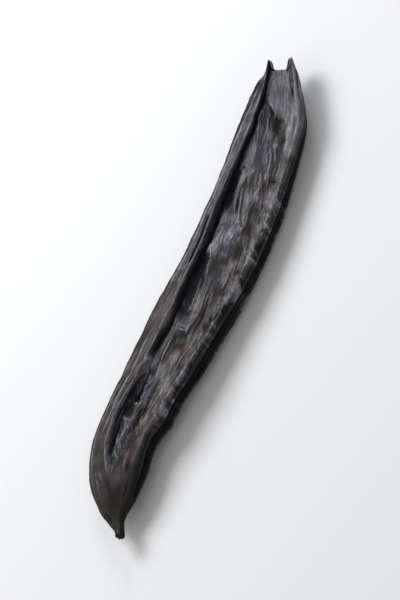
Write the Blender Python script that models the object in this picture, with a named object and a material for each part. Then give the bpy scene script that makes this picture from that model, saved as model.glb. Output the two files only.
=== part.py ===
# A carob pod: one ripe, dried pod lying on its broad side, with its stalk stub towards -Y.
# Metres, +Z up. The origin is under the middle of the pod's box, on the surface that it lies on.
#
# The pod is a loft along a bent and slightly twisted axis. A UV sphere gives the rings and the
# columns, and each of its points is carried to the pod's skin: first to a rounded box section,
# then out or in along the section's normal by the relief of rims, sutures, hollows and seeds.
#
# A station is a share of the length, 0 at the stalk's broken end and 1 at the far end of the rims.
# "Across" is a share of the half width, -1 at the left margin and 1 at the right one.

import math

import bmesh
import bpy
from mathutils import Vector, noise

MM = 0.001

# Driving dimensions. The width is the smooth one, which the margins below take in by a few percent.
LENGTH = 172.0 * MM
WIDTH = 27.8 * MM
THICKNESS = 11.0 * MM
UPPER_CORNER = 2.1 * MM
LOWER_CORNER = 4.2 * MM

# Mesh density: points round the pod and rings along it, closer together at the ends
COLUMNS = 52
RINGS = 96
RING_STATIONS = (
    (0.0, 0.0), (0.05, 0.02), (0.12, 0.06), (0.5, 0.49), (0.88, 0.93), (0.94, 0.975), (1.0, 1.0),
)

# Profiles along the pod, each a row of (station, value)
WIDTH_SHARE = (
    (0.0, 0.12), (0.03, 0.125), (0.06, 0.4), (0.116, 0.67), (0.175, 0.81), (0.24, 0.84), (0.3, 0.89),
    (0.46, 0.995), (0.6, 1.0), (0.76, 0.92), (0.88, 0.74), (0.95, 0.55), (1.0, 0.42),
)
# How far the uneven margins stand out past that width, in mm, each fading towards the axis
LEFT_MARGIN = (
    (0.0, -0.6), (0.015, 0.2), (0.03, 1.6), (0.04, 1.5), (0.06, 0.8), (0.09, 1.15), (0.15, 0.6), (0.2, 0.2),
    (0.3, 0.0), (0.45, -0.2), (0.55, -0.7), (0.61, -1.0), (0.66, -0.6), (0.72, -1.2), (0.8, -0.3),
    (0.86, 0.0), (0.93, -0.3), (0.96, -0.9), (1.0, -1.6),
)
RIGHT_MARGIN = (
    (0.0, 0.0), (0.03, 0.1), (0.04, 0.5), (0.05, 1.0), (0.07, 0.7), (0.1, 0.0), (0.14, -0.7), (0.16, -1.1),
    (0.18, -1.3), (0.2, -1.3), (0.22, -0.55), (0.24, 0.1), (0.26, 0.0), (0.28, -0.7), (0.3, -1.0),
    (0.34, -0.5), (0.37, -0.9), (0.45, -1.2), (0.55, -1.3), (0.75, -1.3), (0.81, -0.8), (0.86, 0.2),
    (0.88, 0.1), (0.91, -0.7), (0.94, -1.1), (0.97, -1.5), (1.0, -1.9),
)
THICKNESS_SHARE = (
    (0.0, 0.3), (0.03, 0.31), (0.06, 0.47), (0.12, 0.74), (0.2, 0.91), (0.35, 1.0),
    (0.7, 0.97), (0.88, 0.8), (0.95, 0.62), (1.0, 0.5),
)
# How far the axis swings sideways, in shares of the width
SIDE_BEND = (
    (0.0, 0.0), (0.03, -0.09), (0.06, -0.19), (0.116, -0.28), (0.175, -0.32), (0.24, -0.28), (0.3, -0.18),
    (0.46, 0.05), (0.6, 0.22), (0.76, 0.32), (0.88, 0.33), (0.95, 0.27), (1.0, 0.18),
)
# The axis above the surface, in shares of the thickness: both ends curl up off it
AXIS_HEIGHT = (
    (0.0, 0.69), (0.06, 0.62), (0.2, 0.57), (0.35, 0.57), (0.5, 0.5), (0.6, 0.5), (0.7, 0.54),
    (0.8, 0.63), (0.9, 0.75), (1.0, 0.87),
)
ROLL_DEGREES = ((0.0, -9.0), (0.2, -8.0), (0.35, -6.0), (0.5, -1.0), (0.7, 4.0), (0.85, 11.0), (1.0, 18.0))

# The long hollow of the upper broad face: where its two walls start, across, how wide each wall
# is, and how deep the hollow is, in shares of the thickness
HOLLOW_LEFT = (
    (0.11, -0.1), (0.15, -0.28), (0.25, -0.36), (0.5, -0.48), (0.7, -0.55), (0.9, -0.53), (1.0, -0.6),
)
HOLLOW_RIGHT = ((0.11, 0.08), (0.15, 0.45), (0.2, 0.8), (0.3, 0.92), (0.8, 0.92), (0.9, 0.86), (1.0, 0.72))
HOLLOW_WALLS = (0.2, 0.32)
HOLLOW_DEPTH = ((0.09, 0.0), (0.14, 0.1), (0.3, 0.17), (0.6, 0.19), (0.85, 0.145), (1.0, 0.09))
# How far the left rim falls from its crest to the margin, in shares of the thickness
LEFT_RIM_FALL = ((0.12, 0.0), (0.3, 0.07), (0.8, 0.08), (0.93, 0.155), (1.0, 0.125))
LEFT_RIM_CREST = 0.08
# The hollow of the lower broad face, whose two rims the pod lies on
UNDER_LEFT = ((0.1, -0.1), (0.2, -0.45), (0.4, -0.62), (1.0, -0.6))
UNDER_RIGHT = ((0.1, 0.1), (0.2, 0.35), (0.4, 0.55), (1.0, 0.6))
UNDER_WALLS = (0.2, 0.2)
UNDER_DEPTH = ((0.09, 0.0), (0.16, 0.09), (0.35, 0.145), (0.8, 0.13), (1.0, 0.055))

# The row of seeds that swells both faces: each one's station and height, in shares of the thickness
SEEDS = (
    (0.169, 0.036), (0.233, 0.055), (0.294, 0.045), (0.355, 0.064), (0.42, 0.09), (0.5, 0.073),
    (0.6, 0.127), (0.677, 0.055), (0.744, 0.08), (0.811, 0.045), (0.878, 0.036),
)
SEED_HALF_LENGTH = 4.8 * MM
SEED_HALF_WIDTH = 6.0 * MM
SEED_ACROSS = 0.06
UNDER_SEED_SHARE = 0.7

# Creases and dents of the upper face, and one raised fold, whose depth is negative:
# station, across, half length, half width and depth
CREASES = (
    (0.262, -0.24, 8.0 * MM, 1.3 * MM, 1.7 * MM),
    (0.305, -0.14, 2.5 * MM, 1.6 * MM, 1.0 * MM),
    (0.186, -0.2, 5.5 * MM, 1.0 * MM, 1.0 * MM),
    (0.256, 0.06, 8.5 * MM, 1.0 * MM, -0.7 * MM),
    (0.855, 0.2, 5.5 * MM, 1.4 * MM, 1.0 * MM),
    (0.724, 0.42, 0.9 * MM, 1.8 * MM, 0.5 * MM),
)

# The suture along each narrow side: a groove at its middle, and a low ridge above and below it.
# Places and widths are shares of the half thickness.
SUTURE_GROOVE = 0.75 * MM
GROOVE_HALF_WIDTH = 0.2
SUTURE_RIDGE = 0.4 * MM
RIDGE_PLACE = 0.48
RIDGE_HALF_WIDTH = 0.17

# The uneven dried skin: wide swells, and smaller folds drawn out along the pod
SWELL_SIZE = 15.0 * MM
SWELL_HEIGHT = 0.45 * MM
FOLD_SIZE = 5.0 * MM
FOLD_STRETCH = 3.0
FOLD_HEIGHT = 0.22 * MM

# The far end falls short between its two rims, which stand out as prongs, and beside them:
# how far in mm, at each place across
FAR_END_START = 0.94
FAR_END = (
    (-1.0, 4.5), (-0.9, 1.7), (-0.82, 0.6), (-0.73, 0.7), (-0.58, 4.0), (0.0, 4.6), (0.42, 4.8),
    (0.56, 4.4), (0.68, 2.4), (0.78, 0.1), (0.86, 0.0), (0.93, 0.9), (1.0, 2.6),
)

# The stations where the two ends begin to close, and those between which the relief fades in
STUB_CAP = 0.006
FAR_CAP = 0.99
RELIEF_START, RELIEF_FULL = 0.03, 0.14

POD_BROWN = (0.035, 0.026, 0.024, 1.0)
POD_ROUGHNESS = 0.42


def along(profile, station):
    """The value of a profile at a station, on a smooth curve through the profile's points."""
    if station <= profile[0][0]:
        return profile[0][1]
    if station >= profile[-1][0]:
        return profile[-1][1]
    last = len(profile) - 1
    k = next(i for i in range(last) if station <= profile[i + 1][0])
    (x0, y0), (x1, y1) = profile[k], profile[k + 1]

    def slope(i):
        before, after = profile[max(i - 1, 0)], profile[min(i + 1, last)]
        return (after[1] - before[1]) / (after[0] - before[0])

    span = x1 - x0
    t = (station - x0) / span
    return (
        y0 * (2 * t**3 - 3 * t**2 + 1)
        + slope(k) * span * (t**3 - 2 * t**2 + t)
        + y1 * (3 * t**2 - 2 * t**3)
        + slope(k + 1) * span * (t**3 - t**2)
    )


def ease(low, high, value):
    """0 below low, 1 above high, and smooth between them."""
    t = min(1.0, max(0.0, (value - low) / (high - low)))
    return t * t * (3.0 - 2.0 * t)


def hump(offset, half_size):
    """1 at no offset, falling smoothly to almost nothing at twice the half size."""
    return math.exp(-((offset / half_size) ** 2))


def axis_point(station):
    """The middle of the section at a station."""
    return Vector((
        along(SIDE_BEND, station) * WIDTH,
        (station - 0.5) * LENGTH,
        along(AXIS_HEIGHT, station) * THICKNESS,
    ))


def axis_frame(station):
    """The section's directions: across to the right margin, and up through the upper face."""
    step = 0.01
    ahead = axis_point(min(1.0, station + step)) - axis_point(max(0.0, station - step))
    ahead.normalize()
    side = ahead.cross(Vector((0.0, 0.0, 1.0))).normalized()
    up = side.cross(ahead)
    roll = math.radians(along(ROLL_DEGREES, station))
    return (
        side * math.cos(roll) - up * math.sin(roll),
        side * math.sin(roll) + up * math.cos(roll),
    )


def section_point(turn, half_width, half_height):
    """A point of the rounded box section, and its outward normal.

    The turn runs from 0 at the right margin through 0.25 on the upper face. Every quarter
    spends the same shares of itself on the side, on the corner and on the broad face.
    """
    side_share, corner_share = 0.13, 0.3
    quarter = int(turn * 4.0) % 4
    corner = UPPER_CORNER if quarter in (0, 1) else LOWER_CORNER
    corner = min(corner, 0.96 * half_width, 0.96 * half_height)
    u = turn * 4.0 - int(turn * 4.0)
    if quarter in (1, 3):
        u = 1.0 - u
    if u < side_share:
        x, z = half_width, (half_height - corner) * u / side_share
        nx, nz = 1.0, 0.0
    elif u < side_share + corner_share:
        angle = (u - side_share) / corner_share * math.pi / 2
        nx, nz = math.cos(angle), math.sin(angle)
        x, z = half_width - corner + corner * nx, half_height - corner + corner * nz
    else:
        face_left = (1.0 - u) / (1.0 - side_share - corner_share)
        x, z = (half_width - corner) * face_left, half_height
        nx, nz = 0.0, 1.0
    if quarter in (1, 2):
        x, nx = -x, -nx
    if quarter in (2, 3):
        z, nz = -z, -nz
    return x, z, nx, nz


def hollow(across, left, right, walls):
    """The share of a hollow's depth that is reached at a place between its two walls."""
    return ease(left, left + walls[0], across) * (1.0 - ease(right - walls[1], right, across))


def seed_swelling(station, across, half_width):
    heights = sum(
        height * THICKNESS * hump((station - middle) * LENGTH, SEED_HALF_LENGTH)
        for middle, height in SEEDS
    )
    return heights * hump((across - SEED_ACROSS) * half_width, SEED_HALF_WIDTH)


def upper_relief(station, across, half_width):
    """How far the upper face stands out from its flat section."""
    left = along(HOLLOW_LEFT, station)
    share = hollow(across, left, along(HOLLOW_RIGHT, station), HOLLOW_WALLS)
    depth = along(HOLLOW_DEPTH, station) * THICKNESS
    relief = share * (seed_swelling(station, across, half_width) - depth)
    relief -= along(LEFT_RIM_FALL, station) * THICKNESS * ease(LEFT_RIM_CREST - left, 1.0, -across)
    for middle, place, half_length, half_across, crease_depth in CREASES:
        reach = hump((station - middle) * LENGTH, half_length)
        relief -= crease_depth * reach * hump((across - place) * half_width, half_across)
    return relief


def lower_relief(station, across, half_width):
    share = hollow(across, along(UNDER_LEFT, station), along(UNDER_RIGHT, station), UNDER_WALLS)
    depth = along(UNDER_DEPTH, station) * THICKNESS
    return share * (UNDER_SEED_SHARE * seed_swelling(station, across, half_width) - depth)


def suture_relief(height_share):
    """How far a narrow side stands out at a share of the half thickness."""
    ridges = SUTURE_RIDGE * hump(abs(height_share) - RIDGE_PLACE, RIDGE_HALF_WIDTH)
    return ridges - SUTURE_GROOVE * hump(height_share, GROOVE_HALF_WIDTH)


def skin_folds(point, x, station):
    swells = SWELL_HEIGHT * noise.noise(point / SWELL_SIZE)
    drawn_out = Vector((x, station * LENGTH / FOLD_STRETCH, point.z))
    return swells + FOLD_HEIGHT * noise.noise(drawn_out / FOLD_SIZE)


def end_scale(station):
    """How far the section is open: 1 along the pod and 0 at the very ends."""
    if station < STUB_CAP:
        closed = 1.0 - station / STUB_CAP
    else:
        closed = max(0.0, (station - FAR_CAP) / (1.0 - FAR_CAP))
    return math.sqrt(max(0.0, 1.0 - closed**2))


def margin_shift(station, across):
    """How far a point is carried out with its margin, most at the margin and not at the axis."""
    margin = RIGHT_MARGIN if across > 0.0 else LEFT_MARGIN
    return along(margin, station) * MM * across * abs(across)


def far_end_fall(station, across):
    """How far the far end falls short at a place across."""
    return max(0.0, along(FAR_END, across)) * MM * ease(FAR_END_START, 1.0, station)


def skin_point(station, turn):
    """The point of the pod's skin at a station and a turn round the section."""
    half_width = WIDTH / 2 * along(WIDTH_SHARE, station)
    half_height = THICKNESS / 2 * along(THICKNESS_SHARE, station)
    x, z, nx, nz = section_point(turn, half_width, half_height)
    across = x / half_width
    middle = axis_point(station)
    broad_relief = upper_relief if nz >= 0 else lower_relief
    folds = skin_folds(middle + Vector((x, 0.0, z)), x, station)
    body = ease(RELIEF_START, RELIEF_FULL, station)
    relief = nz * nz * broad_relief(station, across, half_width)
    relief += body * (nx * nx * suture_relief(z / half_height) + folds)
    scale = end_scale(station)
    x = (x + nx * relief + margin_shift(station, across)) * scale
    end_fall = far_end_fall(station, across * scale)
    z = (z + nz * relief) * scale
    side, up = axis_frame(station)
    ahead = up.cross(side)
    point = middle + side * x + up * z - ahead * end_fall
    point.z = max(point.z, 0.0)
    return point


def centre_over_origin(bm):
    """Moves the pod so that the middle of its box is over the origin."""
    xs = [v.co.x for v in bm.verts]
    ys = [v.co.y for v in bm.verts]
    shift = Vector((-(min(xs) + max(xs)) / 2, -(min(ys) + max(ys)) / 2, 0.0))
    bmesh.ops.translate(bm, verts=bm.verts, vec=shift)


def pod_material():
    material = bpy.data.materials.new("dried_pod")
    material.use_nodes = True
    shader = material.node_tree.nodes["Principled BSDF"]
    shader.inputs["Base Color"].default_value = POD_BROWN
    shader.inputs["Roughness"].default_value = POD_ROUGHNESS
    shader.inputs["Metallic"].default_value = 0.0
    return material


def make_pod(collection):
    bm = bmesh.new()
    bmesh.ops.create_uvsphere(bm, u_segments=COLUMNS, v_segments=RINGS, radius=1.0)
    for v in bm.verts:
        ring = math.acos(max(-1.0, min(1.0, -v.co.z))) / math.pi
        turn = (math.atan2(v.co.y, v.co.x) / math.tau) % 1.0
        v.co = skin_point(along(RING_STATIONS, ring), turn)
    centre_over_origin(bm)
    bmesh.ops.recalc_face_normals(bm, faces=bm.faces)
    mesh = bpy.data.meshes.new("carob_pod")
    bm.to_mesh(mesh)
    bm.free()
    mesh.shade_smooth()
    mesh.materials.append(pod_material())
    pod = bpy.data.objects.new("carob_pod", mesh)
    collection.objects.link(pod)


def main():
    for obj in list(bpy.data.objects):
        bpy.data.objects.remove(obj)
    collection = bpy.data.collections.new("carob_pod")
    bpy.context.scene.collection.children.link(collection)
    make_pod(collection)


main()
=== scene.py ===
# A ripe, dried carob pod lying on a pale surface, in soft studio light.
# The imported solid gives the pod's place and size. A finer piece of the same form stands for it.

import math

import bmesh
import bpy
from mathutils import Matrix, Vector, noise


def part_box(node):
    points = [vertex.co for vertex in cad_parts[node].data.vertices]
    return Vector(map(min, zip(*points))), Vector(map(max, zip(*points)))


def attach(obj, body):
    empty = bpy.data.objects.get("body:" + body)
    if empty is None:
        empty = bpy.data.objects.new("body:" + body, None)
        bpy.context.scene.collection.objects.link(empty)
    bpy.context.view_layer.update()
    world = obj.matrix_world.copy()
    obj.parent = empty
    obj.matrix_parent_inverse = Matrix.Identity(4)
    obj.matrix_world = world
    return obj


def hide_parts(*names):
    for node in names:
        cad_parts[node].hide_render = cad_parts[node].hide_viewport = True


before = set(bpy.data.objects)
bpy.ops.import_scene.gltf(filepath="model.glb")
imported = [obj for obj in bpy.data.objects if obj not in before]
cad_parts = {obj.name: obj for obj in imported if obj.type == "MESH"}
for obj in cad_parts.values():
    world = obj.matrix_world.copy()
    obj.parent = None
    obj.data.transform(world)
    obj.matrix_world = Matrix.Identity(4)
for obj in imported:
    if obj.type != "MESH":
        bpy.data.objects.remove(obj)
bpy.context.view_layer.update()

mm = 0.001


# Small tools

def along(profile, station):
    # the value of a profile at a station, on a smooth curve through its points
    if station <= profile[0][0]:
        return profile[0][1]
    if station >= profile[-1][0]:
        return profile[-1][1]
    last = len(profile) - 1
    k = next(i for i in range(last) if station <= profile[i + 1][0])
    (x0, y0), (x1, y1) = profile[k], profile[k + 1]

    def slope(i):
        before, after = profile[max(i - 1, 0)], profile[min(i + 1, last)]
        return (after[1] - before[1]) / (after[0] - before[0])

    span = x1 - x0
    t = (station - x0) / span
    return (
        y0 * (2 * t**3 - 3 * t**2 + 1)
        + slope(k) * span * (t**3 - 2 * t**2 + t)
        + y1 * (3 * t**2 - 2 * t**3)
        + slope(k + 1) * span * (t**3 - t**2)
    )


def ease(low, high, value):
    # 0 below low, 1 above high, smooth between
    t = min(1.0, max(0.0, (value - low) / (high - low)))
    return t * t * (3.0 - 2.0 * t)


def window(start, end, fade, value):
    # 1 between start and end, fading to 0 at both over the fade
    return ease(start, start + fade, value) * (1.0 - ease(end - fade, end, value))


reach = 3.0  # a hump is next to nothing past this many half sizes


def hump(offset, halfSize):
    return math.exp(-((offset / halfSize) ** 2))


def noiseAt(*place):
    return noise.noise(Vector(place))


def addObject(name, data):
    made = bpy.data.objects.new(name, data)
    bpy.context.scene.collection.objects.link(made)
    return made


def vein(point, width):
    # thin lines where the noise passes through nothing, as the wrinkles of a shrunk skin
    return 1.0 - ease(0.0, width, abs(noise.noise(point)))


# The pod's form: the solid's values, with some edges of the hollow and some creases moved a little.
# A station runs from 0 at the stalk's broken end to 1 at the far end, and across runs from -1 at
# the left margin to 1 at the right one.

podForm = {
    "length": 172.0 * mm,
    "width": 27.8 * mm,
    "thickness": 11.0 * mm,
    "upperCorner": 2.1 * mm,
    "lowerCorner": 4.2 * mm,
    "widthShare": (
        (0.0, 0.12), (0.03, 0.125), (0.06, 0.4), (0.116, 0.67), (0.175, 0.81), (0.24, 0.84),
        (0.3, 0.89), (0.46, 0.995), (0.6, 1.0), (0.76, 0.92), (0.88, 0.74), (0.95, 0.55), (1.0, 0.42),
    ),
    "leftMargin": (  # how far the uneven margins stand out past that width, in mm
        (0.0, -0.6), (0.015, 0.2), (0.03, 1.6), (0.04, 1.5), (0.06, 0.8), (0.09, 1.15), (0.15, 0.6),
        (0.2, 0.2), (0.3, 0.0), (0.45, -0.2), (0.55, -0.7), (0.61, -1.0), (0.66, -0.6), (0.72, -1.2),
        (0.8, -0.3), (0.86, 0.0), (0.93, -0.3), (0.96, -0.9), (1.0, -1.6),
    ),
    "rightMargin": (
        (0.0, 0.0), (0.03, 0.1), (0.04, 0.5), (0.05, 1.0), (0.07, 0.7), (0.1, 0.0), (0.14, -0.7),
        (0.16, -1.1), (0.18, -1.3), (0.2, -1.3), (0.22, -0.55), (0.24, 0.1), (0.26, 0.0), (0.28, -0.7),
        (0.3, -1.0), (0.34, -0.5), (0.37, -0.9), (0.45, -1.2), (0.55, -1.3), (0.75, -1.3), (0.81, -0.8),
        (0.86, 0.2), (0.88, 0.1), (0.91, -0.7), (0.94, -1.1), (0.97, -1.5), (1.0, -1.9),
    ),
    "thicknessShare": (
        (0.0, 0.3), (0.03, 0.31), (0.06, 0.47), (0.12, 0.74), (0.2, 0.91), (0.35, 1.0),
        (0.7, 0.97), (0.88, 0.8), (0.95, 0.62), (1.0, 0.5),
    ),
    "sideBend": (
        (0.0, 0.0), (0.03, -0.09), (0.06, -0.19), (0.116, -0.28), (0.175, -0.32), (0.24, -0.28),
        (0.3, -0.18), (0.46, 0.05), (0.6, 0.22), (0.76, 0.32), (0.88, 0.33), (0.95, 0.27), (1.0, 0.18),
    ),
    "axisHeight": (
        (0.0, 0.69), (0.06, 0.62), (0.2, 0.57), (0.35, 0.57), (0.5, 0.5), (0.6, 0.5), (0.7, 0.54),
        (0.8, 0.63), (0.9, 0.75), (1.0, 0.87),
    ),
    "rollDegrees": (
        (0.0, -9.0), (0.2, -8.0), (0.35, -6.0), (0.5, -1.0), (0.7, 4.0), (0.85, 11.0), (1.0, 18.0),
    ),
    "hollowLeft": (
        (0.11, -0.14), (0.15, -0.33), (0.2, -0.41), (0.3, -0.4), (0.4, -0.43), (0.5, -0.52), (0.6, -0.58),
        (0.67, -0.64), (0.75, -0.61), (0.88, -0.57), (0.94, -0.6), (1.0, -0.74),
    ),
    "hollowRight": (
        (0.11, 0.08), (0.15, 0.45), (0.2, 0.8), (0.3, 0.92), (0.8, 0.92), (0.9, 0.86), (1.0, 0.72),
    ),
    "hollowWalls": (0.14, 0.34),
    "hollowDepth": ((0.09, 0.0), (0.14, 0.1), (0.3, 0.17), (0.6, 0.19), (0.85, 0.145), (1.0, 0.09)),
    "leftRimFall": ((0.12, 0.0), (0.3, 0.07), (0.8, 0.08), (0.93, 0.155), (1.0, 0.125)),
    "leftRimCrest": 0.08,
    "underLeft": ((0.1, -0.1), (0.2, -0.45), (0.4, -0.62), (1.0, -0.6)),
    "underRight": ((0.1, 0.1), (0.2, 0.35), (0.4, 0.55), (1.0, 0.6)),
    "underWalls": (0.2, 0.2),
    "underDepth": ((0.09, 0.0), (0.16, 0.09), (0.35, 0.145), (0.8, 0.13), (1.0, 0.055)),
    "seeds": (  # station and height of each swelling
        (0.169, 0.036), (0.233, 0.055), (0.294, 0.045), (0.355, 0.064), (0.42, 0.09), (0.5, 0.073),
        (0.61, 0.12), (0.677, 0.055), (0.744, 0.08), (0.811, 0.045), (0.878, 0.036),
    ),
    "seedHalfLength": 4.8 * mm,
    "seedHalfWidth": 6.0 * mm,
    "seedAcross": 0.06,
    "underSeedShare": 0.7,
    "creases": (  # station, across, half length, half width and depth in mm
        (0.275, -0.12, 2.9, 1.6, 2.1), (0.24, -0.15, 2.3, 1.4, 1.3), (0.312, -0.12, 2.2, 1.4, 0.9),
        (0.555, 0.1, 2.4, 3.4, 0.7), (0.395, 0.2, 2.6, 3.6, 0.5), (0.458, 0.9, 0.9, 1.5, 0.6),
        (0.186, -0.2, 5.5, 0.8, 0.8), (0.25, 0.22, 8.5, 0.9, -0.6), (0.85, 0.28, 4.5, 1.7, 0.8),
        (0.742, 0.58, 0.9, 1.7, 0.5),
    ),
    "swellSize": 15.0 * mm,
    "swellHeight": 0.45 * mm,
    "foldSize": 5.0 * mm,
    "foldStretch": 3.0,
    "foldHeight": 0.22 * mm,
    "farEndStart": 0.94,
    "farEndRagged": (0.12, 6.0),  # how uneven that end is, and how often across
    "farEnd": (  # across, and how far in mm the end falls short there: the two rims stand out as prongs
        (-1.0, 4.5), (-0.9, 1.7), (-0.82, 0.6), (-0.73, 0.7), (-0.58, 4.0), (0.0, 4.6), (0.42, 4.8),
        (0.56, 4.4), (0.68, 2.4), (0.78, 0.1), (0.86, 0.0), (0.93, 0.9), (1.0, 2.6),
    ),
    "stubCap": 0.005,
    "farCap": 0.99,
    "sideShare": 0.13,  # of a quarter turn of the section; what is left is the broad face
    "cornerShare": 0.3,
    "cornerLimit": 0.96,
    "bodyStart": (0.03, 0.14),  # where the stub's plain form has become the pod's
}


def axisPoint(station):
    return Vector((
        along(podForm["sideBend"], station) * podForm["width"],
        (station - 0.5) * podForm["length"],
        along(podForm["axisHeight"], station) * podForm["thickness"],
    ))


def axisFrame(station):
    # across to the right margin, and up through the upper face
    step = 0.01
    ahead = axisPoint(min(1.0, station + step)) - axisPoint(max(0.0, station - step))
    ahead.normalize()
    side = ahead.cross(Vector((0.0, 0.0, 1.0))).normalized()
    up = side.cross(ahead)
    roll = math.radians(along(podForm["rollDegrees"], station))
    return side * math.cos(roll) - up * math.sin(roll), side * math.sin(roll) + up * math.cos(roll)


def sectionPoint(turn, halfWidth, halfHeight):
    # a rounded box section: every quarter turn has its side, its corner and its half of a broad face
    sideShare, cornerShare = podForm["sideShare"], podForm["cornerShare"]
    quarter = int(turn * 4.0) % 4
    corner = podForm["upperCorner" if quarter in (0, 1) else "lowerCorner"]
    corner = min(corner, podForm["cornerLimit"] * min(halfWidth, halfHeight))
    u = turn * 4.0 - int(turn * 4.0)
    if quarter in (1, 3):
        u = 1.0 - u
    if u < sideShare:
        x, z = halfWidth, (halfHeight - corner) * u / sideShare
        nx, nz = 1.0, 0.0
    elif u < sideShare + cornerShare:
        angle = (u - sideShare) / cornerShare * math.pi / 2
        nx, nz = math.cos(angle), math.sin(angle)
        x, z = halfWidth - corner + corner * nx, halfHeight - corner + corner * nz
    else:
        faceLeft = (1.0 - u) / (1.0 - sideShare - cornerShare)
        x, z = (halfWidth - corner) * faceLeft, halfHeight
        nx, nz = 0.0, 1.0
    if quarter in (1, 2):
        x, nx = -x, -nx
    if quarter in (2, 3):
        z, nz = -z, -nz
    return x, z, nx, nz


def hollowShare(across, left, right, walls):
    return ease(left, left + walls[0], across) * (1.0 - ease(right - walls[1], right, across))


# The fine relief, with sizes and heights in mm. A strand is a ridge or a groove along the pod: its
# half width, its height, how far it wavers, and its path of (station, across).

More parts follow.
